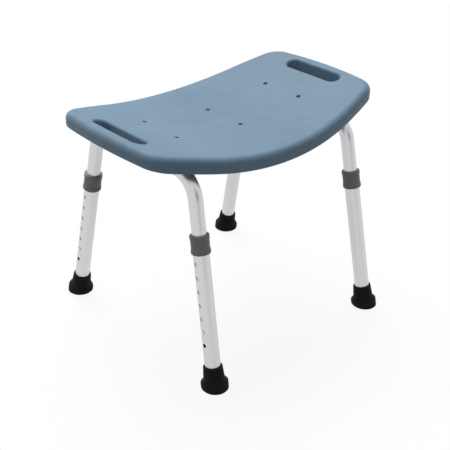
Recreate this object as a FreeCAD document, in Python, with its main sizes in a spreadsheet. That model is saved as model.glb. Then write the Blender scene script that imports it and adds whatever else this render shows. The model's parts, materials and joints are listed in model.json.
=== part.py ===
import FreeCAD, Part
import math
import os

import Sketcher

# Bath seat: a saddle-shaped hollow moulding on two inverted-U tube frames, whose four
# outer legs slide over the frame's stubs and lock with sprung buttons.
# Millimetres. The floor is Z = 0, +Z up, +X along the seat's length, -Y the front.

SIZES = {
    # Seat, seen from above: bowed sides and ends that meet in round corners
    "seat_length": 554,
    "seat_depth": 350,
    "side_bow_radius": 870,
    "end_bow_radius": 850,
    "corner_radius": 45,
    # Seat, seen from the front: a hollow arc between two straight flares
    "seat_height": 397,
    "saddle_radius": 700,
    "saddle_half": 160,
    "seat_thickness": 28,
    "skin": 3.2,
    "rim_wall": 5,
    "rim_round": 12,
    "rim_lower_round": 5,
    # Hand-hold slots beside the grip bars at both ends
    "grip_width": 26,
    "slot_width": 27,
    "slot_length": 132,
    "slot_wall": 4,
    "slot_round": 5,
    "slot_lower_round": 2,
    # Drain holes, in columns between the frames and in rows inside the seat's sides
    "drain_radius": 4,
    "drain_wall": 3,
    "drain_edge": 1,
    "column_to_frame": 38,
    "row_inset": 40,
    # Dimples in the underside, pressed up until the two skins meet
    "dimple_radius": 8,
    "dimple_tip_radius": 4.5,
    "dimple_wall": 3,
    # Grooves that the frames' tubes lie in, and solid blocks for the clamps' screws
    "saddle_block_length": 58,
    "saddle_block_width": 30,
    "groove_depth": 3,
    "groove_end_gap": 4.3,
    "seating_gap": 0.1,
    # Frames of bent tube: the feet's inset from the seat's ends and overhang past its sides,
    # the lean sideways, the splay fore and aft
    "foot_inset": 74,
    "foot_overhang": 35,
    "lean_degrees": 2.2,
    "splay_degrees": 11.3,
    "stub_radius": 12.7,
    "stub_wall": 1.2,
    "bend_radius": 50,
    # Heights from here on are measured along the leg's axis from the floor
    "button_height": 112,
    "stub_below_button": 22,
    # Outer legs
    "leg_radius": 14.3,
    "slide_gap": 0.1,
    "leg_hole_radius": 3.8,
    "hole_pitch": 25.4,
    "hole_count": 7,
    "holes_below_button": 1,
    # Collars at the tops of the outer legs
    "collar_middle": 273,
    "collar_height": 34,
    "collar_radius": 17.4,
    "collar_lip": 2.5,
    "collar_edge": 1.2,
    "collar_waist": 0.8,
    "collar_band": 7,
    # Rubber feet, with a steel washer under the end of the tube
    "foot_height": 43,
    "foot_base_radius": 25,
    "foot_base_height": 13,
    "foot_waist_radius": 19.3,
    "foot_waist_height": 20,
    "foot_top_radius": 17.5,
    "foot_edge": 1.5,
    "foot_sole": 12,
    "foot_overrun": 7,
    "washer_thickness": 1.6,
    "washer_bore": 4,
    "washer_gap": 0.2,
    # Buttons and their hairpin springs inside the stubs
    "button_radius": 3.4,
    "button_proud": 2.4,
    "button_dome": 1.6,
    "button_gap": 0.1,
    "rivet_radius": 1.3,
    "rivet_head_radius": 2.2,
    "rivet_head_height": 0.8,
    "spring_width": 6.5,
    "spring_strip": 0.6,
    "spring_seat": 0.8,
    "spring_below_button": 9,
    "spring_above_button": 32,
    # Clamps that hold the tubes up to the seat, and their screws
    "clamp_strip": 2,
    "clamp_width": 18,
    "clamp_to_bend": 27.3,
    "clamp_flange": 13,
    "screw_radius": 2.5,
    "screw_gap": 0.1,
    "screw_length": 14,
    "screw_point": 2,
    "screw_head_radius": 4.6,
    "screw_head_height": 2.8,
    "screw_dome_radius": 9,
    "screw_cross_length": 4.6,
    "screw_cross_width": 1.1,
    "screw_cross_depth": 1.5,
    # How far a cut runs past what it cuts
    "overrun": 5,
}

doc = FreeCAD.newDocument("BathSeat")
sheet = doc.addObject("Spreadsheet::Sheet", "Sizes")


def fill_sheet():
    for row, (name, number) in enumerate(SIZES.items(), start=1):
        sheet.set("A%d" % row, name)
        sheet.set("B%d" % row, str(number))
        sheet.setAlias("B%d" % row, name)
    doc.recompute()


class Value:
    """A formula on the sheet's sizes, and the number that it gives now."""

    def __init__(self, text, number):
        self.text = text
        self.number = float(number)

    def joined(self, sign, other, number):
        return Value("(%s %s %s)" % (self.text, sign, value(other).text), number)

    def __add__(self, other):
        return self.joined("+", other, self.number + value(other).number)

    def __sub__(self, other):
        return self.joined("-", other, self.number - value(other).number)

    def __mul__(self, other):
        return self.joined("*", other, self.number * value(other).number)

    def __truediv__(self, other):
        return self.joined("/", other, self.number / value(other).number)

    def __neg__(self):
        return Value("(0 - %s)" % self.text, -self.number)


def value(thing):
    return thing if isinstance(thing, Value) else Value(str(thing), thing)


def size(name):
    return Value("Sizes." + name, sheet.get(name))


def sine(degrees):
    return Value("sin(%s * 1deg)" % degrees.text, math.sin(math.radians(degrees.number)))


def cosine(degrees):
    return Value("cos(%s * 1deg)" % degrees.text, math.cos(math.radians(degrees.number)))


def tangent(degrees):
    return Value("tan(%s * 1deg)" % degrees.text, math.tan(math.radians(degrees.number)))


def root(number):
    return Value("sqrt(%s)" % number.text, math.sqrt(number.number))


fill_sheet()
ZERO = Value("0", 0)
OVERRUN = size("overrun")

# Slope of the seat's flares, and the top's height where the arc meets them
FLARE_SINE = size("saddle_half") / size("saddle_radius")
FLARE_COSINE = root(value(1) - FLARE_SINE * FLARE_SINE)
FLARE_SLOPE = FLARE_SINE / FLARE_COSINE
FLARE_DEGREES = math.degrees(math.asin(FLARE_SINE.number))
FLARE_START = size("seat_height") + size("saddle_radius") * (value(1) - FLARE_COSINE)

# The frame's top run: under the flare by its own radius less the groove, and above the feet
LEAN = size("lean_degrees")
SPLAY = size("splay_degrees")
FOOT_OUT = size("seat_length") / 2 - size("foot_inset")
FOOT_ACROSS = size("seat_depth") / 2 + size("foot_overhang")
RUN_DROP = size("stub_radius") - size("groove_depth")
RUN_REACH = FOOT_OUT - size("saddle_half")
RUN_HEIGHT = (
    FLARE_START
    - (size("seat_thickness") + RUN_DROP) / FLARE_COSINE
    + RUN_REACH * FLARE_SLOPE
) / (value(1) + tangent(LEAN) * FLARE_SLOPE)
RUN_OUT = FOOT_OUT - RUN_HEIGHT * tangent(LEAN)
RUN_UP = RUN_HEIGHT / cosine(LEAN)
KNEE_OUT = FOOT_ACROSS - RUN_UP * tangent(SPLAY)
KNEE_UP = RUN_UP / cosine(SPLAY)
BEND_TURN = value(90) - SPLAY
BEND_REACH = size("bend_radius") * tangent(BEND_TURN / 2)
STRAIGHT_HALF = KNEE_OUT - BEND_REACH
CLAMP_ROW = STRAIGHT_HALF - size("clamp_width") / 2 - size("clamp_to_bend")

# The groove ends where the bend has come down out of it
BEND_CLEAR = root(size("bend_radius") * size("groove_depth") * 2)
GROOVE_HALF = STRAIGHT_HALF + BEND_CLEAR + size("groove_end_gap")

# Radii inside the nested tubes, and the foot of the outer leg's tube
STUB_BORE = size("stub_radius") - size("stub_wall")
LEG_BORE = size("stub_radius") + size("slide_gap")
LEG_START = size("foot_sole") + size("washer_thickness")
COLLAR_TOP = size("collar_middle") + size("collar_height") / 2
LEG_END = COLLAR_TOP - size("collar_lip")
SOCKET_RADIUS = size("leg_radius") + size("seating_gap")

# The clamp's strap round the tube, and the underside of its flanges
STRAP_INNER = size("stub_radius") + size("seating_gap")
STRAP_OUTER = STRAP_INNER + size("clamp_strip")
FLANGE_UNDER = RUN_DROP - size("clamp_strip")

# The button spring's strip, against the stub's bore
STRIP_OUTER = STUB_BORE - size("spring_seat")
STRIP_INNER = STRIP_OUTER - size("spring_strip")


def seat_level(along, depth):
    """Height of the surface at a depth below the seat's top, as a number."""
    out = abs(along)
    middle = size("seat_height").number + size("saddle_radius").number
    radius = size("saddle_radius").number + depth
    flare_out = radius * FLARE_SINE.number
    if out > flare_out:
        return middle - radius * FLARE_COSINE.number + (out - flare_out) * FLARE_SLOPE.number
    return middle - math.sqrt(radius**2 - out**2)


def turned(axis, degrees):
    return FreeCAD.Placement(FreeCAD.Vector(), FreeCAD.Rotation(FreeCAD.Vector(*axis), degrees))


def moved(x, y, z):
    return FreeCAD.Placement(FreeCAD.Vector(x, y, z), FreeCAD.Rotation())


X_AXIS = (1, 0, 0)
Y_AXIS = (0, 1, 0)
Z_AXIS = (0, 0, 1)
SIDES = {"right": 0, "left": 180}
ENDS = {"front": -1, "rear": 1}
CORNERS = [(end, side) for end in ENDS for side in SIDES]


def side_turn(side):
    return turned(Z_AXIS, SIDES[side])


def end_sign(end, side):
    """Which way along the side's own Y a corner lies: the left side is turned half round."""
    return ENDS[end] * (-1 if side == "left" else 1)


def frame_place(side):
    return side_turn(side) * moved(RUN_OUT.number, 0, RUN_HEIGHT.number) * turned(Y_AXIS, -LEAN.number)


def leg_place(end, side):
    """The leg's own frame: Z up its axis from the floor, X outwards."""
    sign = end_sign(end, side)
    foot = moved(FOOT_OUT.number, sign * FOOT_ACROSS.number, 0)
    return side_turn(side) * foot * turned(Y_AXIS, -LEAN.number) * turned(X_AXIS, sign * SPLAY.number)


def seat_place(along, across, depth):
    """A place at a depth below the seat's top, its Z square to the top."""
    out = min(abs(along), size("saddle_half").number)
    lean = math.degrees(math.asin(out / size("saddle_radius").number))
    top = moved(along, across, seat_level(along, 0))
    return top * turned(Y_AXIS, -math.copysign(lean, along)) * moved(0, 0, -depth)


def clamp_place(end, side):
    centre = moved(RUN_OUT.number, end_sign(end, side) * CLAMP_ROW.number, RUN_HEIGHT.number)
    return side_turn(side) * centre * turned(Y_AXIS, -FLARE_DEGREES)


class Drawing:
    """A sketch on one of its own body's planes, tied to the sheet."""

    def __init__(self, body, plane, name, lift=None):
        support = next(f for f in body.Origin.OriginFeatures if f.Role == plane)
        self.sketch = body.newObject("Sketcher::SketchObject", name)
        self.sketch.AttachmentSupport = [(support, "")]
        self.sketch.MapMode = "FlatFace"
        if lift is not None:
            self.sketch.setExpression("AttachmentOffset.Base.z", lift.text)

    def tie(self, length, *constraint):
        index = self.sketch.addConstraint(Sketcher.Constraint(*constraint, length.number))
        self.sketch.setExpression("Constraints[%d]" % index, length.text)

    def link(self, *constraint):
        self.sketch.addConstraint(Sketcher.Constraint(*constraint))

    def place(self, piece, point, across, up):
        """Ties a point to its distances across and up from the sketch's origin."""
        for kind, length, axis in (("DistanceX", across, -2), ("DistanceY", up, -1)):
            if length.number == 0:
                self.link("PointOnObject", piece, point, axis)
            else:
                self.tie(length, kind, -1, 1, piece, point)

    def circle(self, radius, across=ZERO, up=ZERO):
        centre = FreeCAD.Vector(across.number, up.number, 0)
        shape = Part.Circle(centre, FreeCAD.Vector(*Z_AXIS), radius.number)
        piece = self.sketch.addGeometry(shape, False)
        self.tie(radius, "Radius", piece)
        self.place(piece, 3, across, up)

    def ring(self, outer, inner):
        self.circle(outer)
        self.circle(inner)

    def outline(self, corners, arcs=None):
        """A closed outline through the corners. arcs gives, by side, a radius and which
        hand its centre lies on as the outline runs: 1 for the left, -1 for the right."""
        arcs = arcs or {}
        places = [FreeCAD.Vector(a.number, b.number, 0) for a, b in corners]
        starts = []
        for index, here in enumerate(places):
            there = places[(index + 1) % len(places)]
            if index in arcs:
                starts.append(self.arc_side(here, there, *arcs[index]))
            else:
                line = self.sketch.addGeometry(Part.LineSegment(here, there), False)
                starts.append((line, 1, 2))
        for index, (piece, first, _) in enumerate(starts):
            before, _, last = starts[index - 1]
            self.link("Coincident", before, last, piece, first)
            self.place(piece, first, *corners[index])

    def arc_side(self, here, there, radius, hand):
        middle = (here + there) / 2
        half = (there - here) / 2
        rise = math.sqrt(max(radius.number**2 - half.Length**2, 0))
        left = FreeCAD.Vector(-half.y, half.x, 0).normalize()
        centre = middle + left * (rise * hand)
        first, last = (here, there) if hand > 0 else (there, here)
        angles = [math.atan2(p.y - centre.y, p.x - centre.x) for p in (first, last)]
        circle = Part.Circle(centre, FreeCAD.Vector(*Z_AXIS), radius.number)
        piece = self.sketch.addGeometry(Part.ArcOfCircle(circle, *angles), False)
        # A half circle's middle is level with its ends, which fix its radius
        if math.isclose(radius.number, half.Length):
            self.link("Horizontal", piece, 3, piece, 1)
        else:
            self.tie(radius, "Radius", piece)
        return (piece, 1, 2) if hand > 0 else (piece, 2, 1)

    def box(self, x, y, length, width):
        """A rectangle about a middle point."""
        right, left = x + length / 2, x - length / 2
        top, bottom = y + width / 2, y - width / 2
        self.outline([(left, bottom), (right, bottom), (right, top), (left, top)])

    def obround(self, x, length, width):
        """A slot with round ends whose middle is on the X axis and which runs along Y."""
        half = width / 2
        reach = length / 2 - half
        corners = [
            (x - half, -reach), (x + half, -reach), (x + half, reach), (x - half, reach)
        ]
        self.outline(corners, {0: (half, 1), 2: (half, 1)})


def new_body(name):
    body = doc.addObject("PartDesign::Body", name)
    body.Label = name
    body.AllowCompound = True
    return body


def pad(body, drawing, name, length, both_ways=False):
    feature = body.newObject("PartDesign::Pad", name)
    feature.Profile = drawing.sketch
    feature.setExpression("Length", length.text)
    feature.SideType = "Symmetric" if both_ways else "One side"
    return feature


def pocket(body, drawing, name, length, both_ways=True, turned_over=False):
    """Cuts a sketch's shape away. check() makes sure that each one cut something."""
    feature = body.newObject("PartDesign::Pocket", name)
    feature.Profile = drawing.sketch
    feature.setExpression("Length", length.text)
    feature.SideType = "Symmetric" if both_ways else "One side"
    feature.Reversed = turned_over
    return feature


def revolve(body, drawing, name, axis):
    feature = body.newObject("PartDesign::Revolution", name)
    feature.Profile = drawing.sketch
    feature.ReferenceAxis = (drawing.sketch, [axis])
    feature.Angle = 360
    return feature


def round_edges(body, name, radius, wanted):
    """Rounds each edge that the test picks."""
    doc.recompute()
    base = body.Tip
    picked = [
        "Edge%d" % number for number, edge in enumerate(base.Shape.Edges, start=1) if wanted(edge)
    ]
    feature = body.newObject("PartDesign::Fillet", name)
    feature.Base = (base, picked)
    feature.setExpression("Radius", radius.text)
    return feature


def edge_points(edge):
    span = edge.LastParameter - edge.FirstParameter
    return [edge.valueAt(edge.FirstParameter + span * share) for share in (0, 0.5, 1)]


# Seat

def plan_outline(drawing, inset):
    """The seat's outline from above: two bowed sides and two bowed ends, round corners."""
    side = size("side_bow_radius") - inset
    end = size("end_bow_radius") - inset
    corner = size("corner_radius") - inset
    side_middle = size("seat_depth") / 2 - size("side_bow_radius")
    end_middle = size("seat_length") / 2 - size("end_bow_radius")
    # The corner's middle is one bow less one corner radius from the middle of each bow
    side_gap = size("side_bow_radius").number - size("corner_radius").number
    end_gap = size("end_bow_radius").number - size("corner_radius").number
    apart = math.hypot(end_middle.number, side_middle.number)
    along = (end_gap**2 - side_gap**2 + apart**2) / (2 * apart)
    off = math.sqrt(end_gap**2 - along**2)
    way = FreeCAD.Vector(-end_middle.number, side_middle.number, 0) / apart
    middle = FreeCAD.Vector(end_middle.number, 0, 0) + way * along + FreeCAD.Vector(-way.y, way.x, 0) * off
    side_angle = math.atan2(middle.y - side_middle.number, middle.x)
    end_angle = math.atan2(middle.y, middle.x - end_middle.number)
    quarter = math.pi / 2
    arcs = []
    for turn, (centre, radius, half) in enumerate(
        [
            ((end_middle.number, 0), end, end_angle),
            ((0, side_middle.number), side, quarter - side_angle),
            ((-end_middle.number, 0), end, end_angle),
            ((0, -side_middle.number), side, quarter - side_angle),
        ]
    ):
        facing = turn * quarter
        circle = Part.Circle(FreeCAD.Vector(*centre, 0), FreeCAD.Vector(*Z_AXIS), radius.number)
        arcs.append(Part.ArcOfCircle(circle, facing - half, facing + half))
        x_sign = 1 if turn in (0, 3) else -1
        y_sign = 1 if turn in (0, 1) else -1
        at = FreeCAD.Vector(middle.x * x_sign, middle.y * y_sign, 0)
        first = end_angle if turn % 2 == 0 else quarter - side_angle
        last = side_angle if turn % 2 == 0 else quarter - end_angle
        circle = Part.Circle(at, FreeCAD.Vector(*Z_AXIS), corner.number)
        arcs.append(Part.ArcOfCircle(circle, facing + first, facing + last))
    pieces = [drawing.sketch.addGeometry(arc, False) for arc in arcs]
    for index, piece in enumerate(pieces):
        following = pieces[(index + 1) % len(pieces)]
        drawing.link("Tangent", piece, 2, following, 1)
    for piece, radius in zip(pieces, [end, corner, side, corner] * 2):
        drawing.tie(radius, "Radius", piece)
    drawing.place(pieces[0], 3, end_middle, ZERO)
    drawing.place(pieces[2], 3, ZERO, side_middle)
    drawing.place(pieces[4], 3, -end_middle, ZERO)
    drawing.place(pieces[6], 3, ZERO, -side_middle)


def saddle_band(drawing, upper, lower):
    """The seat from the front, between two depths below its top surface."""
    reach = size("seat_length") / 2 + OVERRUN
    middle = size("seat_height") + size("saddle_radius")
    points = {}
    for name, depth in (("upper", upper), ("lower", lower)):
        radius = size("saddle_radius") + depth
        start_x = radius * FLARE_SINE
        start_z = middle - radius * FLARE_COSINE
        points[name] = (radius, start_x, start_z, start_z + (reach - start_x) * FLARE_SLOPE)
    radius, x, z, tip = points["upper"]
    low_radius, low_x, low_z, low_tip = points["lower"]
    corners = [
        (-reach, tip), (-x, z), (x, z), (reach, tip),
        (reach, low_tip), (low_x, low_z), (-low_x, low_z), (-reach, low_tip),
    ]
    drawing.outline(corners, {1: (radius, 1), 5: (low_radius, -1)})


def on_outline(edge, outline, depth):
    """Whether an edge runs along an outline at a depth below the seat's top."""
    close = size("seating_gap").number
    for point in edge_points(edge):
        flat = Part.Vertex(point.x, point.y, 0)
        if flat.distToShape(outline.sketch.Shape)[0] > close:
            return False
        if abs(seat_level(point.x, depth) - point.z) > close:
            return False
    return True


SLOT_MIDDLE = size("seat_length") / 2 - size("grip_width") - size("slot_width") / 2
CUT_REACH = (size("seat_height") + size("seat_length")) * 2

# Drain holes and dimples share a grid: its columns end beside the frames, its rows inside
# the seat's sides. Each table gives a column's share of that reach and its rows' shares.
COLUMN_REACH = RUN_OUT - size("column_to_frame")
ROW_REACH = size("seat_depth") / 2 - size("row_inset")
DRAIN_SHARES = {column: (-1 / 3, 1 / 3) for column in (-1, 0, 1)}
DIMPLE_SHARES = {-1: (-1, 1), -0.5: (-2 / 3, 0, 2 / 3), 0: (-1, 1), 0.5: (-2 / 3, 0, 2 / 3), 1: (-1, 1)}


def grid_places(shares):
    for column, rows in shares.items():
        for row in rows:
            yield COLUMN_REACH * column, ROW_REACH * row


def make_seat_block():
    """The seat as a solid block with its outline, slots, drains and rounded edges."""
    body = new_body("seat_block")
    band = Drawing(body, "XZ_Plane", "seat_band")
    saddle_band(band, ZERO, size("seat_thickness"))
    pad(body, band, "seat_pad", size("seat_depth") + OVERRUN * 2, both_ways=True)
    around = Drawing(body, "XY_Plane", "around_the_seat")
    plan_outline(around, ZERO)
    around.box(ZERO, ZERO, size("seat_length") + OVERRUN * 4, size("seat_depth") + OVERRUN * 4)
    pocket(body, around, "seat_outline", CUT_REACH)
    slots = Drawing(body, "XY_Plane", "slot_outlines")
    for side in (-1, 1):
        slots.obround(SLOT_MIDDLE * side, size("slot_length"), size("slot_width"))
    pocket(body, slots, "hand_slots", CUT_REACH)
    drains = Drawing(body, "XY_Plane", "drain_circles")
    for x, y in grid_places(DRAIN_SHARES):
        drains.circle(size("drain_radius"), x, y)
    pocket(body, drains, "drain_holes", CUT_REACH)

    thickness = size("seat_thickness").number
    for name, radius, outline, depth in (
        ("rim_top", "rim_round", around, 0),
        ("rim_bottom", "rim_lower_round", around, thickness),
        ("slot_top", "slot_round", slots, 0),
        ("slot_bottom", "slot_lower_round", slots, thickness),
        ("drain_top", "drain_edge", drains, 0),
    ):
        round_edges(body, name, size(radius), lambda edge: on_outline(edge, outline, depth))
    return body


def make_seat_hollow():
    """What is left open inside the seat, between its skins, walls, bosses and blocks."""
    body = new_body("seat_hollow")
    band = Drawing(body, "XZ_Plane", "hollow_band")
    skin = size("skin")
    saddle_band(band, skin, size("seat_thickness") - skin)
    pad(body, band, "hollow_pad", size("seat_depth") + OVERRUN * 2, both_ways=True)
    around = Drawing(body, "XY_Plane", "around_the_hollow")
    plan_outline(around, size("rim_wall"))
    around.box(ZERO, ZERO, size("seat_length") + OVERRUN * 4, size("seat_depth") + OVERRUN * 4)
    pocket(body, around, "hollow_outline", CUT_REACH)
    # The cavity's upper edge follows the rim's rounding, so that the wall there stays as thick
    round_edges(
        body, "hollow_rim_top", size("rim_round") - size("rim_wall"),
        lambda edge: on_outline(edge, around, skin.number),
    )
    kept = Drawing(body, "XY_Plane", "walls_and_blocks")
    wall = size("slot_wall") * 2
    for side in (-1, 1):
        kept.obround(SLOT_MIDDLE * side, size("slot_length") + wall, size("slot_width") + wall)
        for end in (-1, 1):
            kept.box(
                RUN_OUT * side, CLAMP_ROW * end,
                size("saddle_block_length"), size("saddle_block_width"),
            )
    for x, y in grid_places(DRAIN_SHARES):
        kept.circle(size("drain_radius") + size("drain_wall"), x, y)
    pocket(body, kept, "walls_and_blocks_kept", CUT_REACH)
    walls = [groove("groove_wall_", side, skin) for side in SIDES]
    walls += dimples("dimple_wall_", size("dimple_wall"), size("seat_thickness"))
    return cut("seat_cavity", body, fuse("cavity_walls", walls))


def cylinder(name, radius, length, place):
    tool = doc.addObject("Part::Cylinder", name)
    tool.setExpression("Radius", radius.text)
    tool.setExpression("Height", length.text)
    tool.Placement = place
    return tool


def cone(name, base_radius, tip_radius, length, place):
    tool = doc.addObject("Part::Cone", name)
    tool.setExpression("Radius1", base_radius.text)
    tool.setExpression("Radius2", tip_radius.text)
    tool.setExpression("Height", length.text)
    tool.Placement = place
    return tool


def cut(name, base, tool):
    result = doc.addObject("Part::Cut", name)
    result.Base = base
    result.Tool = tool
    result.Label = name
    return result


def fuse(name, tools):
    result = doc.addObject("Part::MultiFuse", name)
    result.Shapes = tools
    return result


def groove(name, side, wall):
    """The room that a frame's top run takes under the seat, or that room and a wall."""
    half = GROOVE_HALF + wall
    at = moved(RUN_OUT.number, half.number, RUN_HEIGHT.number) * turned(X_AXIS, 90)
    return cylinder(name + side, STRAP_INNER + wall, half * 2, side_turn(side) * at)


def dimples(name, wall, length):
    """Cones that rise from under the seat's lower skin, each with a wall if one is given."""
    full = size("seat_thickness") - size("skin") * 2
    taper = (size("dimple_radius") - size("dimple_tip_radius")) / full
    base = size("dimple_radius") + wall + taper * OVERRUN
    start = size("seat_thickness") + OVERRUN
    return [
        cone(
            "%s%d" % (name, number), base, base - taper * length, length,
            seat_place(x.number, y.number, start.number),
        )
        for number, (x, y) in enumerate(grid_places(DIMPLE_SHARES), start=1)
    ]


def screw_places():
    out = STRAP_OUTER + size("clamp_flange") / 2
    for end, side in CORNERS:
        for hand in (-1, 1):
            yield clamp_place(end, side) * moved(hand * out.number, 0, FLANGE_UNDER.number)


def make_seat_shell():
    """The seat: block less cavity, with the grooves, dimples and screw holes cut from below."""
    shell = cut("seat_hollowed", make_seat_block(), make_seat_hollow())
    tools = [groove("groove_", side, ZERO) for side in SIDES]
    tools += dimples("dimple_", ZERO, size("seat_thickness") - size("skin") * 2 + OVERRUN)
    radius = size("screw_radius") + size("screw_gap")
    length = size("screw_length") + size("screw_gap")
    tools += [
        cylinder("pilot_%d" % number, radius, length, place)
        for number, place in enumerate(screw_places(), start=1)
    ]
    shell = cut("seat_shell", shell, fuse("underside_cuts", tools))
    return [shell]


# Frames

def make_frame(side):
    """An inverted U of tube: half of it swept, with its button hole, and mirrored."""
    body = new_body(side + "_leg_frame")
    path = Drawing(body, "YZ_Plane", side + "_frame_path")
    stub = KNEE_UP - BEND_REACH - (size("button_height") - size("stub_below_button"))
    bend = size("bend_radius")
    turn = math.radians(BEND_TURN.number)
    bend_start = FreeCAD.Vector(STRAIGHT_HALF.number, 0, 0)
    centre = bend_start - FreeCAD.Vector(0, bend.number, 0)
    away = FreeCAD.Vector(math.sin(turn), math.cos(turn), 0)
    down = FreeCAD.Vector(math.cos(turn), -math.sin(turn), 0)
    bend_end = centre + away * bend.number
    run = path.sketch.addGeometry(Part.LineSegment(FreeCAD.Vector(), bend_start), False)
    circle = Part.Circle(centre, FreeCAD.Vector(*Z_AXIS), bend.number)
    arc = path.sketch.addGeometry(Part.ArcOfCircle(circle, math.pi / 2 - turn, math.pi / 2), False)
    leg = path.sketch.addGeometry(Part.LineSegment(bend_end, bend_end + down * stub.number), False)
    path.place(run, 1, ZERO, ZERO)
    path.place(run, 2, STRAIGHT_HALF, ZERO)
    path.link("Tangent", run, 2, arc, 2)
    path.link("Tangent", arc, 1, leg, 1)
    path.tie(bend, "Radius", arc)
    path.tie(stub, "Distance", leg)
    path.tie(
        KNEE_OUT + (KNEE_UP - (size("button_height") - size("stub_below_button"))) * sine(SPLAY),
        "DistanceX", -1, 1, leg, 2,
    )
    section = Drawing(body, "XZ_Plane", side + "_frame_section")
    section.ring(size("stub_radius"), STUB_BORE)
    tube = body.newObject("PartDesign::AdditivePipe", side + "_frame_tube")
    tube.Profile = section.sketch
    tube.Spine = path.sketch
    hole = Drawing(body, "YZ_Plane", side + "_frame_hole")
    reach = KNEE_UP - size("button_height")
    across = KNEE_OUT + reach * sine(SPLAY)
    hole.circle(size("button_radius") + size("button_gap"), across, -(reach * cosine(SPLAY)))
    drilled = pocket(
        body, hole, side + "_button_hole", size("stub_radius") + OVERRUN,
        both_ways=False, turned_over=True,
    )
    mirror = body.newObject("PartDesign::Mirrored", side + "_frame_mirror")
    mirror.Originals = [tube, drilled]
    plane = next(f for f in body.Origin.OriginFeatures if f.Role == "XZ_Plane")
    mirror.MirrorPlane = (plane, [""])
    body.Tip = mirror
    body.Placement = frame_place(side)
    return [body]


# Outer legs

def corner_name(end, side, piece):
    return "%s_%s_%s" % (end, side, piece)


def make_leg(end, side):
    body = new_body(corner_name(end, side, "leg"))
    ring = Drawing(body, "XY_Plane", body.Name + "_ring", LEG_START)
    ring.ring(size("leg_radius"), LEG_BORE)
    pad(body, ring, body.Name + "_tube", LEG_END - LEG_START)
    hole = Drawing(body, "YZ_Plane", body.Name + "_hole")
    lowest = size("button_height") - size("hole_pitch") * size("holes_below_button")
    hole.circle(size("leg_hole_radius"), ZERO, lowest)
    first = pocket(
        body, hole, body.Name + "_first_hole", size("leg_radius") + OVERRUN,
        both_ways=False, turned_over=True,
    )
    row = body.newObject("PartDesign::LinearPattern", body.Name + "_holes")
    row.Originals = [first]
    axis = next(f for f in body.Origin.OriginFeatures if f.Role == "Z_Axis")
    row.Direction = (axis, [""])
    row.setExpression("Length", (size("hole_pitch") * (size("hole_count") - 1)).text)
    row.setExpression("Occurrences", size("hole_count").text)
    body.Tip = row
    body.Placement = leg_place(end, side)
    return body


def make_collar(end, side):
    """A sleeve on the leg's top, with a lip in over the end of the tube."""
    body = new_body(corner_name(end, side, "collar"))
    outer = size("collar_radius")
    waist = outer - size("collar_waist")
    edge = size("collar_edge")
    band = size("collar_band")
    bottom = COLLAR_TOP - size("collar_height")
    lip = size("stub_radius") + size("slide_gap")
    shape = Drawing(body, "XZ_Plane", body.Name + "_section")
    shape.outline([
        (SOCKET_RADIUS, bottom),
        (outer - edge, bottom),
        (outer, bottom + edge),
        (outer, bottom + band),
        (waist, bottom + band + size("collar_waist")),
        (waist, COLLAR_TOP - band - size("collar_waist")),
        (outer, COLLAR_TOP - band),
        (outer, COLLAR_TOP - edge),
        (outer - edge, COLLAR_TOP),
        (lip, COLLAR_TOP),
        (lip, LEG_END),
        (SOCKET_RADIUS, LEG_END),
    ])
    revolve(body, shape, body.Name + "_turning", "V_Axis")
    body.Placement = leg_place(end, side)
    return body


def make_foot(end, side):
    """A rubber tip, cut flat where it meets the floor."""
    name = corner_name(end, side, "foot")
    body = new_body(name + "_blank")
    base = size("foot_base_radius")
    top = size("foot_top_radius")
    edge = size("foot_edge")
    shape = Drawing(body, "XZ_Plane", name + "_section")
    shape.outline([
        (ZERO, -size("foot_overrun")),
        (base, -size("foot_overrun")),
        (base, size("foot_base_height") - edge),
        (base - edge, size("foot_base_height")),
        (size("foot_waist_radius"), size("foot_waist_height")),
        (top, size("foot_height") - edge),
        (top - edge, size("foot_height")),
        (SOCKET_RADIUS, size("foot_height")),
        (SOCKET_RADIUS, size("foot_sole")),
        (ZERO, size("foot_sole")),
    ], {5: (edge, 1)})
    revolve(body, shape, name + "_turning", "V_Axis")
    body.Placement = leg_place(end, side)
    block = doc.addObject("Part::Box", name + "_floor")
    wide = base * 4
    for side_name, length in (("Length", wide), ("Width", wide), ("Height", base)):
        block.setExpression(side_name, length.text)
    at = body.Placement.Base
    block.Placement = moved(at.x - wide.number / 2, at.y - wide.number / 2, -base.number)
    return cut(name, body, block)


def make_washer(end, side):
    body = new_body(corner_name(end, side, "washer"))
    ring = Drawing(body, "XY_Plane", body.Name + "_ring", size("foot_sole"))
    ring.ring(SOCKET_RADIUS - size("washer_gap"), size("washer_bore"))
    pad(body, ring, body.Name + "_plate", size("washer_thickness"))
    body.Placement = leg_place(end, side)
    return body


# Buttons and springs

def button_place(end, side):
    return leg_place(end, side) * moved(0, 0, size("button_height").number)


def make_button(end, side):
    """A domed button, riveted to the arm of the hairpin spring."""
    body = new_body(corner_name(end, side, "button"))
    radius = size("button_radius")
    dome = size("button_dome")
    top = size("leg_radius") + size("button_proud")
    tail = size("rivet_radius")
    head = size("rivet_head_radius")
    inner = STRIP_INNER - size("rivet_head_height")
    dome_radius = (radius * radius + dome * dome) / (dome * 2)
    shape = Drawing(body, "XZ_Plane", body.Name + "_section")
    shape.outline([
        (inner, ZERO),
        (top, ZERO),
        (top - dome, radius),
        (STRIP_OUTER, radius),
        (STRIP_OUTER, tail),
        (STRIP_INNER, tail),
        (STRIP_INNER, head),
        (inner, head),
    ], {1: (dome_radius, 1)})
    revolve(body, shape, body.Name + "_turning", "H_Axis")
    body.Placement = button_place(end, side)
    return body


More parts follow.
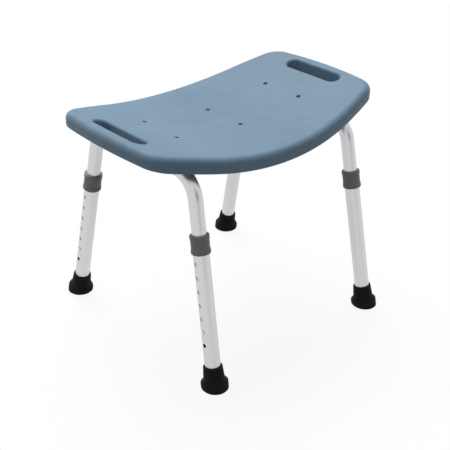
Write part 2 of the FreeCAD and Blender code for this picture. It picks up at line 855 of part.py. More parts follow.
def make_spring(end, side):
    """A hairpin of spring strip, its arms against the stub's bore."""
    body = new_body(corner_name(end, side, "button_spring"))
    low = -size("spring_below_button")
    high = size("spring_above_button")
    shape = Drawing(body, "XZ_Plane", body.Name + "_side")
    shape.outline([
        (STRIP_INNER, low),
        (STRIP_OUTER, low),
        (STRIP_OUTER, high),
        (-STRIP_OUTER, high),
        (-STRIP_OUTER, low),
        (-STRIP_INNER, low),
        (-STRIP_INNER, high),
        (STRIP_INNER, high),
    ], {2: (STRIP_OUTER, 1), 6: (STRIP_INNER, -1)})
    pad(body, shape, body.Name + "_strip", size("spring_width"), both_ways=True)
    hole = Drawing(body, "YZ_Plane", body.Name + "_hole")
    hole.circle(size("rivet_radius") + size("button_gap"))
    pocket(
        body, hole, body.Name + "_rivet_hole", STRIP_OUTER + OVERRUN,
        both_ways=False, turned_over=True,
    )
    body.Placement = button_place(end, side)
    return body


# Clamps and screws

def make_clamp(end, side):
    """A strap of metal strip round the tube, with two flanges under the seat."""
    body = new_body(corner_name(end, side, "clamp"))
    tip = STRAP_OUTER + size("clamp_flange")
    shape = Drawing(body, "XZ_Plane", body.Name + "_profile")
    shape.outline([
        (STRAP_INNER, RUN_DROP),
        (STRAP_INNER, ZERO),
        (-STRAP_INNER, ZERO),
        (-STRAP_INNER, RUN_DROP),
        (-tip, RUN_DROP),
        (-tip, FLANGE_UNDER),
        (-STRAP_OUTER, FLANGE_UNDER),
        (-STRAP_OUTER, ZERO),
        (STRAP_OUTER, ZERO),
        (STRAP_OUTER, FLANGE_UNDER),
        (tip, FLANGE_UNDER),
        (tip, RUN_DROP),
    ], {1: (STRAP_INNER, -1), 7: (STRAP_OUTER, 1)})
    pad(body, shape, body.Name + "_strap", size("clamp_width"), both_ways=True)
    holes = Drawing(body, "XY_Plane", body.Name + "_circles")
    for hand in (-1, 1):
        holes.circle(
            size("screw_radius") + size("screw_gap"),
            (STRAP_OUTER + size("clamp_flange") / 2) * hand,
        )
    pocket(body, holes, body.Name + "_holes", size("clamp_flange") * 4)
    body.Placement = clamp_place(end, side)
    return body


def make_screw(number, place):
    """A pan-head screw with a cross recess, its head downwards."""
    body = new_body("clamp_screw_%d" % number)
    radius = size("screw_radius")
    head = size("screw_head_radius")
    height = size("screw_head_height")
    length = size("screw_length")
    point = size("screw_point")
    dome = size("screw_dome_radius")
    sag = dome - root(dome * dome - head * head)
    shape = Drawing(body, "XZ_Plane", body.Name + "_section")
    shape.outline([
        (ZERO, -height),
        (head, sag - height),
        (head, ZERO),
        (radius, ZERO),
        (radius, length - point),
        (radius / 2, length),
        (ZERO, length),
    ], {0: (dome, 1)})
    revolve(body, shape, body.Name + "_turning", "V_Axis")
    cross = Drawing(body, "XY_Plane", body.Name + "_cross", -height)
    far = size("screw_cross_length") / 2
    near = size("screw_cross_width") / 2
    cross.outline([
        (near, near), (near, far), (-near, far), (-near, near),
        (-far, near), (-far, -near), (-near, -near), (-near, -far),
        (near, -far), (near, -near), (far, -near), (far, near),
    ])
    pocket(
        body, cross, body.Name + "_recess", size("screw_cross_depth"),
        both_ways=False, turned_over=True,
    )
    body.Placement = place
    return body


def make_screws():
    group = doc.addObject("Part::Compound", "clamp_screws")
    group.Label = "clamp_screws"
    group.Links = [make_screw(number, place) for number, place in enumerate(screw_places(), start=1)]
    return group


def make_all():
    nodes = make_seat_shell()
    for side in SIDES:
        nodes += make_frame(side)
    for end, side in CORNERS:
        for make in (
            make_clamp, make_leg, make_collar, make_foot,
            make_washer, make_button, make_spring,
        ):
            nodes.append(make(end, side))
    nodes.append(make_screws())
    return nodes


def cuts(pocket_feature):
    return pocket_feature.Shape.Volume < pocket_feature.BaseFeature.Shape.Volume


def check(nodes):
    for thing in doc.Objects:
        if "Invalid" in thing.State or "Error" in thing.State:
            raise RuntimeError("%s failed: %s" % (thing.Name, thing.State))
        if thing.TypeId == "PartDesign::Pocket" and not cuts(thing):
            raise RuntimeError("%s cuts nothing" % thing.Name)
    for node in nodes:
        if node.Shape.isNull() or not node.Shape.isValid():
            raise RuntimeError("%s has no sound shape" % node.Label)
        solids = node.Shape.Solids
        print("%-28s solids %d  volume %9.1f mm3" % (node.Label, len(solids), node.Shape.Volume))


def write(nodes):
    os.makedirs("parts", exist_ok=True)
    for node in nodes:
        node.Shape.exportStep(os.path.join("parts", node.Label + ".step"))


finished = make_all()
doc.recompute()
check(finished)
write(finished)
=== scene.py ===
import json
import math

import bmesh
import bpy
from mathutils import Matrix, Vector


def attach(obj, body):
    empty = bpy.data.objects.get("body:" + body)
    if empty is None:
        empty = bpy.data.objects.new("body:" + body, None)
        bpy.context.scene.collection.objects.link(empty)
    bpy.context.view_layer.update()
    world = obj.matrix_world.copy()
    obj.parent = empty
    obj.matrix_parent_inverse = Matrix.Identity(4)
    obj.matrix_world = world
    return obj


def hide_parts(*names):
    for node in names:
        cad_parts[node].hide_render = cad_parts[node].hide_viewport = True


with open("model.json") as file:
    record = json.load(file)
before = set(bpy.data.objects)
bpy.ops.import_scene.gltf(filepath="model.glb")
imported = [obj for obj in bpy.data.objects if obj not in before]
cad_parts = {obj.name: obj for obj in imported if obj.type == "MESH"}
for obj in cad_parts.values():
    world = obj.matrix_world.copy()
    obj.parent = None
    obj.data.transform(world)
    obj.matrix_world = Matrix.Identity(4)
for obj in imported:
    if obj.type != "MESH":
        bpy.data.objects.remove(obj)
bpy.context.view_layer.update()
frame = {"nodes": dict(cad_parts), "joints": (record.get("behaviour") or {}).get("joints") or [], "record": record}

# Bath seat in metres: a hollow moulded seat on two bent tube frames and four sliding legs.
# The floor is Z = 0, +X runs along the seat and -Y is its front.

CORNERS = ["front_right", "front_left", "rear_right", "rear_left"]

# The seat's top: an arc between two straight flares, and the depth of the moulding's seam
SEAT_HEIGHT = 0.397
SADDLE_RADIUS = 0.7
SADDLE_HALF = 0.16
SEAT_THICKNESS = 0.028
SEAM_DEPTH = 0.0165

# Heights along each leg's axis from the floor
BUTTON_HEIGHT = 0.112
COLLAR_TOP = 0.29

# Rubber tips, measured along the leg's axis
FOOT_HEIGHT = 0.043
FOOT_BASE_RADIUS = 0.025
FOOT_BASE_HEIGHT = 0.013
FOOT_WAIST_RADIUS = 0.0193
FOOT_WAIST_HEIGHT = 0.02
FOOT_TOP_RADIUS = 0.0175
FOOT_EDGE = 0.0015
FOOT_SOCKET = 0.0144
FOOT_SOLE = 0.012
RIB_COUNT = 4
RIB_PITCH = 0.0043
RIB_GROOVE = 0.0007
RIB_DEPTH = 0.0006
TREAD_COUNT = 4
TREAD_PITCH = 0.005
TREAD_GROOVE = 0.0009
TREAD_DEPTH = 0.0014

# A groove's outline: half widths from its middle, and the share of its depth that it has there
TREAD_OUTLINE = [(-1, 0), (-0.6, 1), (0.6, 1), (1, 0)]
RIB_OUTLINE = [(-1, 0), (-0.5, 1), (0.5, 1), (1, 0)]

# How finely a tip is turned, and the angle above which an edge between faces stays sharp
TURNING_SIDES = 72
FLARE_STEPS = 4
ROUNDING_STEPS = 3
SHARP_EDGE = math.radians(38)

# Camera: a point it looks at, its distance from it in metres, its angles in degrees, its lens in
# millimetres and how far it sees
LOOK_AT = Vector((-0.0903, -0.1062, 0.2451))
CAMERA_DISTANCE = 1.6622
CAMERA_PITCH = 29.194
CAMERA_AZIMUTH = -42.625
CAMERA_ROLL = 1.046
CAMERA_LENS = 73.92
CAMERA_FAR = 50


# Shader tools

class Wire:
    """A shader socket that is calculated with like a number."""

    def __init__(self, finish, socket):
        self.finish = finish
        self.socket = socket

    def maths(self, operation, first, second):
        return self.finish.node("ShaderNodeMath", {"operation": operation}, {0: first, 1: second})

    def __add__(self, other):
        return self.maths("ADD", self, other)

    def __radd__(self, other):
        return self.maths("ADD", other, self)

    def __sub__(self, other):
        return self.maths("SUBTRACT", self, other)

    def __rsub__(self, other):
        return self.maths("SUBTRACT", other, self)

    def __mul__(self, other):
        return self.maths("MULTIPLY", self, other)

    def __rmul__(self, other):
        return self.maths("MULTIPLY", other, self)

    def __truediv__(self, other):
        return self.maths("DIVIDE", self, other)

    def __pow__(self, other):
        return self.maths("POWER", self, other)

    def most(self, other):
        return self.maths("MAXIMUM", self, other)

    def least(self, other):
        return self.maths("MINIMUM", self, other)

    def size(self):
        return self.maths("ABSOLUTE", self, 0)


class Finish:
    """A material under construction, with a Principled shader at its end."""

    def __init__(self, name):
        self.material = bpy.data.materials.new(name)
        self.material.use_nodes = True
        self.tree = self.material.node_tree
        self.tree.nodes.clear()

    def node(self, kind, settings=None, sockets=None, output=0):
        """Adds a node: its settings first, then the values or wires of its sockets."""
        node = self.tree.nodes.new(kind)
        for name, setting in (settings or {}).items():
            if name == "stops":
                self.set_stops(node.color_ramp, setting)
            else:
                setattr(node, name, setting)
        for name, thing in (sockets or {}).items():
            if isinstance(thing, Wire):
                self.tree.links.new(thing.socket, node.inputs[name])
            else:
                node.inputs[name].default_value = thing
        return Wire(self, node.outputs[output]) if node.outputs else None

    def set_stops(self, ramp, stops):
        for index, (place, shade) in enumerate(stops):
            stop = ramp.elements[index] if index < 2 else ramp.elements.new(place)
            stop.position = place
            stop.color = (shade, shade, shade, 1)

    def place(self):
        """Where a point is in the frame at rest, in metres. It moves along with its piece."""
        return self.node("ShaderNodeTexCoord", output="Object")

    def stretched(self, vector, scales):
        settings = {"operation": "MULTIPLY"}
        return self.node("ShaderNodeVectorMath", settings, {0: vector, 1: scales})

    def dot(self, vector, axis):
        settings = {"operation": "DOT_PRODUCT"}
        return self.node("ShaderNodeVectorMath", settings, {0: vector, 1: axis}, "Value")

    def split(self, vector):
        axes = [(1, 0, 0), (0, 1, 0), (0, 0, 1)]
        return [self.dot(vector, axis) for axis in axes]

    def noise(self, vector, scale, detail=2, roughness=0.5):
        sockets = {"Vector": vector, "Scale": scale, "Detail": detail, "Roughness": roughness}
        return self.node("ShaderNodeTexNoise", None, sockets)

    def cells(self, vector, scale, smoothness):
        """Rounded cells, 0 at their middles."""
        settings = {"feature": "SMOOTH_F1"}
        sockets = {"Vector": vector, "Scale": scale, "Smoothness": smoothness}
        return self.node("ShaderNodeTexVoronoi", settings, sockets)

    def ramp(self, wire, *stops):
        return self.node("ShaderNodeValToRGB", {"stops": stops}, {"Fac": wire})

    def blend(self, share, first, second):
        settings = {"data_type": "RGBA"}
        return self.node("ShaderNodeMix", settings, {0: share, 6: first, 7: second}, 2)

    def bump(self, height, depth, strength=1, below=None):
        """Relief of a depth in metres, over another relief if one is given."""
        sockets = {"Height": height, "Distance": depth, "Strength": strength}
        if below is not None:
            sockets["Normal"] = below
        return self.node("ShaderNodeBump", None, sockets)

    def close(self, **sockets):
        """Ends the material in a Principled shader and returns the material."""
        named = {}
        for name, thing in sockets.items():
            label = name.replace("_", " ").title().replace("Ior", "IOR")
            named[label] = thing
        shader = self.node("ShaderNodeBsdfPrincipled", None, named, "BSDF")
        self.node("ShaderNodeOutputMaterial", None, {"Surface": shader})
        return self.material


class Leg:
    """A corner's own axes, read from its slide and its foot's mount."""

    def __init__(self, corner):
        joints = {joint["name"]: joint for joint in frame["joints"]}
        mounts = {mount["name"]: mount for mount in frame["record"]["mounts"]}
        self.up = -Vector(joints[corner + "_leg_slide"]["axis"])
        self.out = -Vector(joints[corner + "_button_press"]["axis"])
        self.across = self.up.cross(self.out)
        self.foot = Vector(mounts[corner + "_foot_base"]["pos_m"])

    def coordinates(self, finish):
        """Distances out, across and up the leg from the middle of its sole, as wires."""
        settings = {"operation": "SUBTRACT"}
        sockets = {0: finish.place(), 1: self.foot}
        reach = finish.node("ShaderNodeVectorMath", settings, sockets)
        return [finish.dot(reach, axis) for axis in (self.out, self.across, self.up)]


def joined(finish, x, y, z):
    return finish.node("ShaderNodeCombineXYZ", None, {"X": x, "Y": y, "Z": z})


# Finishes

def depth_below_top(finish):
    """How far below the seat's top surface a point is, in metres."""
    x, _, z = finish.split(finish.place())
    out = x.size()
    inner = out.least(SADDLE_HALF)
    rise = SADDLE_RADIUS - (SADDLE_RADIUS**2 - inner * inner) ** 0.5
    slope = SADDLE_HALF / math.sqrt(SADDLE_RADIUS**2 - SADDLE_HALF**2)
    return rise + (out - SADDLE_HALF).most(0) * slope + SEAT_HEIGHT - z


# The seat's colours: its own, a deeper one used for painted shade in its grain's hollows, and where it is rubbed
SEAT_BLUE = (0.206, 0.335, 0.46, 1)
SEAT_DEEP = (0.16, 0.272, 0.38, 1)
SEAT_WORN = (0.32, 0.44, 0.54, 1)
SEAT_ROUGHNESS = 0.4
SEAT_SPECULAR = 0.3

# Spots per metre of the seat's slow drift in tone, its clouds, rubs, pebble grain and fine texture
DRIFT_PITCH = 5
CLOUD_PITCH = 38
RUB_PITCH = 70
GRAIN_PITCH = 620
FINE_PITCH = 2600
RUB_STRETCH = (1, 2.2, 1)

# How much of another colour the rubs, rubbed edge, painted shade in the grain's hollows and seam take
RUB_SHARE = 0.2
EDGE_RUB_SHARE = 0.14
GRAIN_PAINTED_SHADE_SHARE = 0.16
SEAM_SHARE = 0.3
CLOUD_SHARE = 0.4

# Relief of the seat in metres
GRAIN_DEPTH = 0.00012
FINE_DEPTH = 0.00003
CLOUD_DEPTH = 0.0004
SEAM_GROOVE = 0.0003


def seat_plastic():
    """Matt polyethylene with a pebble grain on its faces and painted shade in the grain's hollows, paler where it
    is rubbed, and the moulding's seam round its edge."""
    finish = Finish("seat_plastic")
    place = finish.place()
    depth = depth_below_top(finish)
    level = depth / SEAT_THICKNESS
    drift = finish.noise(place, DRIFT_PITCH, detail=3, roughness=0.6)
    cloud = finish.noise(place, CLOUD_PITCH, detail=4, roughness=0.62)
    grain = finish.cells(place, GRAIN_PITCH, smoothness=0.8)
    fine = finish.noise(place, FINE_PITCH)
    tone = finish.ramp(drift * (1 - CLOUD_SHARE) + cloud * CLOUD_SHARE, (0.36, 0), (0.66, 1))
    spots = finish.noise(finish.stretched(place, RUB_STRETCH), RUB_PITCH, detail=6, roughness=0.72)
    rubs = finish.ramp(spots, (0.6, 0), (0.74, 1))
    edge = finish.ramp(level, (0.01, 0), (0.06, 1), (0.2, 1), (0.34, 0))
    side = finish.ramp(level, (0.15, 0), (0.32, 1), (0.86, 1), (0.97, 0))
    seam = finish.ramp((depth - SEAM_DEPTH).size() / SEAT_THICKNESS, (0.006, 1), (0.022, 0))
    pits = finish.ramp(grain, (0.25, 0), (0.75, 1))
    worn = rubs * RUB_SHARE + edge * finish.ramp(cloud, (0.45, 0), (0.65, 1)) * EDGE_RUB_SHARE
    colour = finish.blend(tone, SEAT_DEEP, SEAT_BLUE)
    colour = finish.blend(worn, colour, SEAT_WORN)
    # Painted shade: the grain's hollows are darkened towards the deeper blue
    colour = finish.blend(pits * GRAIN_PAINTED_SHADE_SHARE, colour, SEAT_DEEP)
    colour = finish.blend(seam * SEAM_SHARE, colour, SEAT_DEEP)
    roughness = SEAT_ROUGHNESS + cloud * 0.14 + pits * 0.1 - rubs * 0.06 - side * 0.06
    relief = finish.bump((1 - grain) * (1 - side * 0.6), GRAIN_DEPTH, strength=0.7)
    relief = finish.bump(fine, FINE_DEPTH, strength=0.5, below=relief)
    relief = finish.bump(cloud, CLOUD_DEPTH, strength=0.3, below=relief)
    relief = finish.bump(seam, SEAM_GROOVE, strength=0.8, below=relief)
    return finish.close(
        base_color=colour, roughness=roughness, normal=relief, specular_ior_level=SEAT_SPECULAR
    )


# Aluminium tube, from its dull to its bright parts, and its specks and scores
TUBE_DULL = (0.57, 0.575, 0.59, 1)
TUBE_BRIGHT = (0.72, 0.72, 0.73, 1)
TUBE_SCORED = (0.42, 0.42, 0.43, 1)
TUBE_ROUGHNESS = 0.25
SPECK_SHARE = 0.35
SCORE_SHARE = 0.4

# Its draw lines, scores, haze and specks, in spots per metre, and the lines' depth
FRAME_LINES = (900, 30, 900)
LEG_LINES_ROUND = 1500
LEG_LINES_ALONG = 14
SCORE_LINES = (1400, 1400, 9)
HAZE_PITCH = 55
SPECK_PITCH = 900
DRAW_DEPTH = 0.00002


def slide_scores(finish):
    """Scores that the collars leave on the frames' stubs, round the height where they slide."""
    place = finish.place()
    _, _, z = finish.split(place)
    rubbed = finish.ramp(z / COLLAR_TOP, (0.9, 0), (0.97, 1), (1.03, 1), (1.22, 0))
    scores = finish.noise(finish.stretched(place, SCORE_LINES), 1)
    return rubbed * finish.ramp(scores, (0.58, 0), (0.66, 1))


def drawn_aluminium(name, leg=None):
    """Satin anodised tube, with the draw lines along its length."""
    finish = Finish(name)
    place = finish.place()
    if leg is None:
        line_place = finish.stretched(place, FRAME_LINES)
        scores = slide_scores(finish)
    else:
        out, across, up = leg.coordinates(finish)
        line_place = joined(
            finish, out * LEG_LINES_ROUND, across * LEG_LINES_ROUND, up * LEG_LINES_ALONG
        )
        scores = 0.0
    lines = finish.noise(line_place, 1, detail=3)
    haze = finish.noise(place, HAZE_PITCH, detail=5, roughness=0.65)
    specks = finish.ramp(finish.noise(place, SPECK_PITCH), (0.66, 0), (0.76, 1))
    colour = finish.blend(lines * 0.5 + haze * 0.5, TUBE_DULL, TUBE_BRIGHT)
    colour = finish.blend(specks * SPECK_SHARE + scores * SCORE_SHARE, colour, TUBE_SCORED)
    roughness = TUBE_ROUGHNESS + haze * 0.12 + lines * 0.1 + scores * 0.15
    relief = finish.bump(lines, DRAW_DEPTH, strength=0.55)
    return finish.close(base_color=colour, metallic=1.0, roughness=roughness, normal=relief)


# Clamp strip: colours, rolling lines and stains in spots per metre, and the lines' depth
STRIP_STAINED = (0.52, 0.52, 0.54, 1)
STRIP_CLEAN = (0.72, 0.72, 0.73, 1)
STRIP_ROUGHNESS = 0.32
STRIP_LINES = (60, 1700, 60)
STRIP_STAIN_PITCH = 90
STRIP_DEPTH = 0.00002


def rolled_strip():
    """Mill-finished strip of the clamps, with its rolling lines across the seat."""
    finish = Finish("rolled_strip")
    place = finish.place()
    lines = finish.noise(finish.stretched(place, STRIP_LINES), 1, detail=3)
    stains = finish.noise(place, STRIP_STAIN_PITCH, detail=4, roughness=0.7)
    colour = finish.blend(stains, STRIP_STAINED, STRIP_CLEAN)
    relief = finish.bump(lines, STRIP_DEPTH, strength=0.6)
    roughness = STRIP_ROUGHNESS + stains * 0.2
    return finish.close(base_color=colour, metallic=1.0, roughness=roughness, normal=relief)


# Collar nylon: colours, texture and handling marks in spots per metre, and the texture's depth
NYLON_GREY = (0.23, 0.235, 0.24, 1)
NYLON_RUBBED = (0.34, 0.345, 0.35, 1)
NYLON_ROUGHNESS = 0.38
NYLON_TEXTURE_PITCH = 2400
MARKS_ROUND = 300
MARKS_ALONG = 60
MARK_SHARE = 0.5
NYLON_DEPTH = 0.00004


def dark_nylon(leg):
    """Moulded nylon of a collar, with fine spark-eroded texture and faint handling marks."""
    finish = Finish("dark_nylon")
    out, across, up = leg.coordinates(finish)
    texture = finish.noise(finish.place(), NYLON_TEXTURE_PITCH)
    mark_place = joined(finish, out * MARKS_ROUND, across * MARKS_ROUND, up * MARKS_ALONG)
    marks = finish.noise(mark_place, 1, detail=5, roughness=0.7)
    marks = finish.ramp(marks, (0.56, 0), (0.74, 1))
    colour = finish.blend(marks * MARK_SHARE, NYLON_GREY, NYLON_RUBBED)
    roughness = NYLON_ROUGHNESS + texture * 0.14 + marks * 0.08
    relief = finish.bump(texture, NYLON_DEPTH, strength=0.6)
    return finish.close(base_color=colour, roughness=roughness, normal=relief)


# Tip rubber: colours, mottle and texture in spots per metre, and the texture's depth
RUBBER_BLACK = (0.004, 0.004, 0.0045, 1)
RUBBER_DULL = (0.009, 0.009, 0.0095, 1)
RUBBER_DUST = (0.06, 0.058, 0.055, 1)
RUBBER_ROUGHNESS = 0.62
RUBBER_SPECULAR = 0.15
MOTTLE_PITCH = 160
RUBBER_TEXTURE_PITCH = 1800
DUST_SHARE = 0.35
RUBBER_DEPTH = 0.00008


def tip_rubber(leg):
    """Black rubber, dusty near the floor."""
    finish = Finish("tip_rubber")
    _, _, up = leg.coordinates(finish)
    place = finish.place()
    mottle = finish.noise(place, MOTTLE_PITCH, detail=5, roughness=0.7)
    texture = finish.noise(place, RUBBER_TEXTURE_PITCH, detail=3, roughness=0.6)
    low = finish.ramp(up / FOOT_HEIGHT, (0.0, 1), (0.32, 0))
    dust = low * finish.ramp(mottle, (0.4, 0), (0.7, 1))
    colour = finish.blend(mottle, RUBBER_BLACK, RUBBER_DULL)
    colour = finish.blend(dust * DUST_SHARE, colour, RUBBER_DUST)
    roughness = RUBBER_ROUGHNESS + texture * 0.16 + dust * 0.12
    relief = finish.bump(texture, RUBBER_DEPTH, strength=0.5)
    return finish.close(
        base_color=colour, roughness=roughness, normal=relief, specular_ior_level=RUBBER_SPECULAR
    )


# Button steel: colours, lathe rings and stains in spots per metre, and the rings' depth
STEEL_STAINED = (0.56, 0.56, 0.57, 1)
STEEL_CLEAN = (0.7, 0.7, 0.7, 1)
STEEL_ROUGHNESS = 0.2
RING_PITCH = 6000
STEEL_STAIN_PITCH = 400
RING_DEPTH = 0.00001


def turned_steel(leg):
    """Stainless steel of a button, with rings from the lathe."""
    finish = Finish("turned_steel")
    _, across, up = leg.coordinates(finish)
    lift = up - BUTTON_HEIGHT
    radius = (across * across + lift * lift) ** 0.5
    rings = finish.noise(joined(finish, radius * RING_PITCH, 0.0, 0.0), 1, detail=3)
    stains = finish.noise(finish.place(), STEEL_STAIN_PITCH, detail=3)
    colour = finish.blend(stains, STEEL_STAINED, STEEL_CLEAN)
    relief = finish.bump(rings, RING_DEPTH, strength=0.5)
    roughness = STEEL_ROUGHNESS + stains * 0.16
    return finish.close(base_color=colour, metallic=1.0, roughness=roughness, normal=relief)


# Spring strip: colours, heat scale in spots per metre and its depth
SPRING_DARK = (0.2, 0.21, 0.24, 1)
SPRING_PALE = (0.42, 0.42, 0.44, 1)
SPRING_ROUGHNESS = 0.28
SCALE_PITCH = 260
SCALE_DEPTH = 0.00003


def spring_steel():
    """Tempered strip of the buttons' springs, with the scale of its heat treatment."""
    finish = Finish("spring_steel")
    scale = finish.noise(finish.place(), SCALE_PITCH, detail=5, roughness=0.7)
    colour = finish.blend(scale, SPRING_DARK, SPRING_PALE)
    relief = finish.bump(scale, SCALE_DEPTH, strength=0.4)
    roughness = SPRING_ROUGHNESS + scale * 0.2
    return finish.close(base_color=colour, metallic=1.0, roughness=roughness, normal=relief)


# Zinc plate: colours, crystals and stains in spots per metre, and the crystals' depth
ZINC_STAINED = (0.5, 0.51, 0.53, 1)
ZINC_CLEAN = (0.72, 0.73, 0.74, 1)
ZINC_ROUGHNESS = 0.24
CRYSTAL_PITCH = 900
ZINC_STAIN_PITCH = 300
CRYSTAL_DEPTH = 0.00002


def zinc_plate():
    """Bright zinc of the screws and washers, with the crystals that plating leaves."""
    finish = Finish("zinc_plate")
    place = finish.place()
    crystals = finish.cells(place, CRYSTAL_PITCH, smoothness=0.2)
    stains = finish.noise(place, ZINC_STAIN_PITCH, detail=4, roughness=0.7)
    colour = finish.blend(stains, ZINC_STAINED, ZINC_CLEAN)
    relief = finish.bump(crystals, CRYSTAL_DEPTH, strength=0.4)
    roughness = ZINC_ROUGHNESS + stains * 0.2
    return finish.close(base_color=colour, metallic=1.0, roughness=roughness, normal=relief)


# Rubber tips

def foot_profile():
    """Rows of radius, height and whether the height is above the floor and not up the leg:
    from the sole's middle outwards, up the ribbed side and down into the socket."""
    sole = []
    for ring in range(1, TREAD_COUNT + 1):
        middle = ring * TREAD_PITCH
        for offset, share in TREAD_OUTLINE:
            sole.append((middle + offset * TREAD_GROOVE, share * TREAD_DEPTH))
    sole += [(FOOT_BASE_RADIUS - FOOT_EDGE, 0), (FOOT_BASE_RADIUS, FOOT_EDGE)]
    side = [
        (FOOT_BASE_RADIUS, FOOT_BASE_HEIGHT - FOOT_EDGE),
        (FOOT_BASE_RADIUS - FOOT_EDGE / 3, FOOT_BASE_HEIGHT - FOOT_EDGE / 3),
        (FOOT_BASE_RADIUS - FOOT_EDGE, FOOT_BASE_HEIGHT),
    ]
    flare = FOOT_BASE_RADIUS - FOOT_EDGE - FOOT_WAIST_RADIUS
    climb = FOOT_WAIST_HEIGHT - FOOT_BASE_HEIGHT
    for step in range(1, FLARE_STEPS + 1):
        share = step / FLARE_STEPS
        hollow = RIB_DEPTH * math.sin(math.pi * share)
        radius = FOOT_WAIST_RADIUS + flare * (1 - share) - hollow
        side.append((radius, FOOT_BASE_HEIGHT + climb * share))
    shoulder = FOOT_HEIGHT - FOOT_EDGE
    taper = (FOOT_WAIST_RADIUS - FOOT_TOP_RADIUS) / (shoulder - FOOT_WAIST_HEIGHT)
    for rib in range(1, RIB_COUNT + 1):
        middle = FOOT_WAIST_HEIGHT + rib * RIB_PITCH
        for offset, share in RIB_OUTLINE:
            height = middle + offset * RIB_GROOVE
            radius = FOOT_WAIST_RADIUS - taper * (height - FOOT_WAIST_HEIGHT)
            side.append((radius - share * RIB_DEPTH, height))
    for step in range(ROUNDING_STEPS + 1):
        turn = math.pi / 2 * step / ROUNDING_STEPS
        rounding = (math.cos(turn) - 1) * FOOT_EDGE
        side.append((FOOT_TOP_RADIUS + rounding, shoulder + math.sin(turn) * FOOT_EDGE))
    side += [(FOOT_SOCKET, FOOT_HEIGHT), (FOOT_SOCKET, FOOT_SOLE)]
    return [(radius, height, True) for radius, height in sole] + [
        (radius, height, False) for radius, height in side
    ]


def make_foot(corner, leg):
    """A turned rubber tip whose sole lies flat on the floor, square across the splayed leg."""
    shape = bmesh.new()

    def point(radius, height, turn, on_floor):
        side = (leg.out * math.cos(turn) + leg.across * math.sin(turn)) * radius
        if on_floor:
            height = (height - side.z) / leg.up.z
        return shape.verts.new(leg.foot + side + leg.up * height)

    turns = [2 * math.pi * step / TURNING_SIDES for step in range(TURNING_SIDES)]
    rings = [
        [point(radius, height, turn, on_floor) for turn in turns]
        for radius, height, on_floor in foot_profile()
    ]
    for inner, outer in zip(rings, rings[1:]):
        for step in range(TURNING_SIDES):
            after = (step + 1) % TURNING_SIDES
            shape.faces.new((inner[step], inner[after], outer[after], outer[step]))
    for ring, height, on_floor in ((rings[0], 0, True), (rings[-1], FOOT_SOLE, False)):
        middle = point(0, height, 0, on_floor)
        for step in range(TURNING_SIDES):
            shape.faces.new((middle, ring[step], ring[(step + 1) % TURNING_SIDES]))
    bmesh.ops.recalc_face_normals(shape, faces=shape.faces)
    mesh = bpy.data.meshes.new(corner + "_rubber_tip")
    shape.to_mesh(mesh)
    shape.free()
    mesh.shade_smooth()
    mesh.set_sharp_from_angle(angle=SHARP_EDGE)
    mesh.materials.append(tip_rubber(leg))
    tip = bpy.data.objects.new(corner + "_rubber_tip", mesh)
    bpy.context.scene.collection.objects.link(tip)
    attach(tip, corner + "_lower_leg")
    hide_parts(corner + "_foot")


def give(node, material):
    """Puts one material on every slot of a CAD node."""
    thing = frame["nodes"][node]
    for slot in thing.material_slots:
        slot.material = material
    if not thing.material_slots:
        thing.data.materials.append(material)


def finish_nodes():
    """Gives every CAD node its material, and each corner its turned rubber tip."""
    plate = zinc_plate()
    strip = rolled_strip()
    spring = spring_steel()
    give("seat_shell", seat_plastic())
    give("clamp_screws", plate)
    for side in ("right", "left"):
        give(side + "_leg_frame", drawn_aluminium("frame_tube"))
    for corner in CORNERS:
        leg = Leg(corner)
        give(corner + "_clamp", strip)
        give(corner + "_button_spring", spring)
        give(corner + "_washer", plate)
        give(corner + "_leg", drawn_aluminium("leg_tube", leg))
        give(corner + "_collar", dark_nylon(leg))
        make_foot(corner, leg)
        give(corner + "_button", turned_steel(leg))


# Stage

def light_path(finish, question):
    """1 for the rays that the question is true of."""
    return finish.node("ShaderNodeLightPath", output=question)


def mirrored_rays(finish):
    """1 for rays that are mirrored or bent, which see the white room that the camera sees."""
    return light_path(finish, "Is Glossy Ray").most(light_path(finish, "Is Transmission Ray"))


# The floor: half its width, how far below the tips it lies, its grey and its mirrored glow
FLOOR_REACH = 8
FLOOR_DROP = 0.0002
FLOOR_GREY = 0.15
FLOOR_GLOW = 0.878
FLOOR_MOTTLE = 0.01
FLOOR_MOTTLE_PITCH = 3

# What the camera sees of it: its grey, its glow and how much of it is clear
SEEN_GREY = 0.9
SEEN_GLOW = 0.2
CLEAR_SHARE = 0.88


def floor_paint():
    """Dull paint, pale where the camera sees it and dark for the light that it throws back."""
    finish = Finish("floor_paint")
    seen = light_path(finish, "Is Camera Ray")
    mottle = finish.noise(finish.place(), FLOOR_MOTTLE_PITCH, detail=3)
    shade = FLOOR_GREY + mottle * FLOOR_MOTTLE + seen * (SEEN_GREY - FLOOR_GREY)
    colour = joined(finish, shade, shade, shade)
    paint = finish.node("ShaderNodeBsdfDiffuse", None, {"Color": colour}, "BSDF")
    strength = (mirrored_rays(finish) * FLOOR_GLOW).most(seen * SEEN_GLOW)
    glow = finish.node("ShaderNodeEmission", None, {"Strength": strength}, "Emission")
    both = finish.node("ShaderNodeAddShader", None, {0: paint, 1: glow}, "Shader")
    clear = finish.node("ShaderNodeBsdfTransparent", None, {"Color": (1, 1, 1, 1)}, "BSDF")
    below = finish.node("ShaderNodeNewGeometry", output="Backfacing")
    veil = below.most(seen * CLEAR_SHARE)
    surface = finish.node("ShaderNodeMixShader", None, {0: veil, 1: both, 2: clear}, "Shader")
    finish.node("ShaderNodeOutputMaterial", None, {"Surface": surface})
    return finish.material


def floor():
    """A pale floor with the seat's shadow on it. The camera sees it as a thin veil, so that
    legs let out below the floor still show, and sees through it from below."""
    mesh = bpy.data.meshes.new("floor")
    corners = [(-1, -1), (1, -1), (1, 1), (-1, 1)]
    places = [(x * FLOOR_REACH, y * FLOOR_REACH, -FLOOR_DROP) for x, y in corners]
    mesh.from_pydata(places, [], [(0, 1, 2, 3)])
    mesh.materials.append(floor_paint())
    plane = bpy.data.objects.new("floor", mesh)
    bpy.context.scene.collection.objects.link(plane)


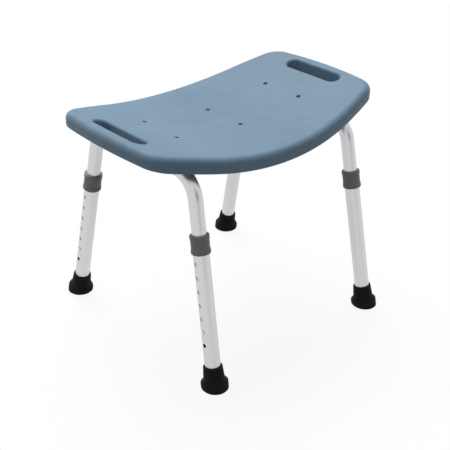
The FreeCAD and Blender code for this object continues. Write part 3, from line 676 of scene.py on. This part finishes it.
# The room: its light on the object, and the way and share of its dim side
SKY_STRENGTH = 0.31
DIM_SIDE = Vector((-0.1, -1, 0.12)).normalized()
DIM_SHARE = 0.75


class Sky(Finish):
    """The world's nodes, made with the same tools as a material's."""

    def __init__(self):
        world = bpy.data.worlds.new("studio")
        world.use_nodes = True
        self.tree = world.node_tree
        self.tree.nodes.clear()
        bpy.context.scene.world = world


def sky():
    """A white room that is dim on one side, so that bright metal has a dark line along it."""
    finish = Sky()
    way = finish.node("ShaderNodeTexCoord", output="Generated")
    dim = finish.ramp(finish.dot(way, DIM_SIDE), (0.86, 0), (0.98, 1)) * DIM_SHARE
    mirrored = mirrored_rays(finish).most(SKY_STRENGTH) * (1 - dim)
    strength = mirrored.most(light_path(finish, "Is Camera Ray"))
    sockets = {"Color": (1, 1, 1, 1), "Strength": strength}
    light = finish.node("ShaderNodeBackground", None, sockets, "Background")
    finish.node("ShaderNodeOutputWorld", None, {"Surface": light})


# The lamp overhead: its strength, its width in degrees and the way it shines from
SUN_STRENGTH = 2.1
SUN_SOFTNESS = 40
SUN_FROM = Vector((0.2, 0.55, 1))


def sun():
    """One broad lamp, which throws the soft shadow under the seat."""
    lamp = bpy.data.lights.new("overhead", "SUN")
    lamp.energy = SUN_STRENGTH
    lamp.angle = math.radians(SUN_SOFTNESS)
    thing = bpy.data.objects.new("overhead", lamp)
    thing.rotation_euler = SUN_FROM.to_track_quat("Z", "Y").to_euler()
    bpy.context.scene.collection.objects.link(thing)


def camera():
    """The camera at the photograph's angle, with its small roll."""
    pitch, azimuth = math.radians(CAMERA_PITCH), math.radians(CAMERA_AZIMUTH)
    roll = math.radians(CAMERA_ROLL)
    level = math.cos(pitch)
    back = Vector((math.sin(azimuth) * level, -math.cos(azimuth) * level, math.sin(pitch)))
    turn = back.to_track_quat("Z", "Y").to_matrix()
    right, up = turn.col[0].copy(), turn.col[1].copy()
    turn.col[0] = right * math.cos(roll) + up * math.sin(roll)
    turn.col[1] = up * math.cos(roll) - right * math.sin(roll)
    data = bpy.data.cameras.new("camera")
    data.lens = CAMERA_LENS
    data.clip_end = CAMERA_FAR
    thing = bpy.data.objects.new("camera", data)
    thing.location = LOOK_AT + back * CAMERA_DISTANCE
    thing.rotation_euler = turn.to_euler()
    bpy.context.scene.collection.objects.link(thing)
    bpy.context.scene.camera = thing


finish_nodes()
floor()
sky()
sun()
camera()
bpy.context.scene.view_settings.view_transform = "Standard"
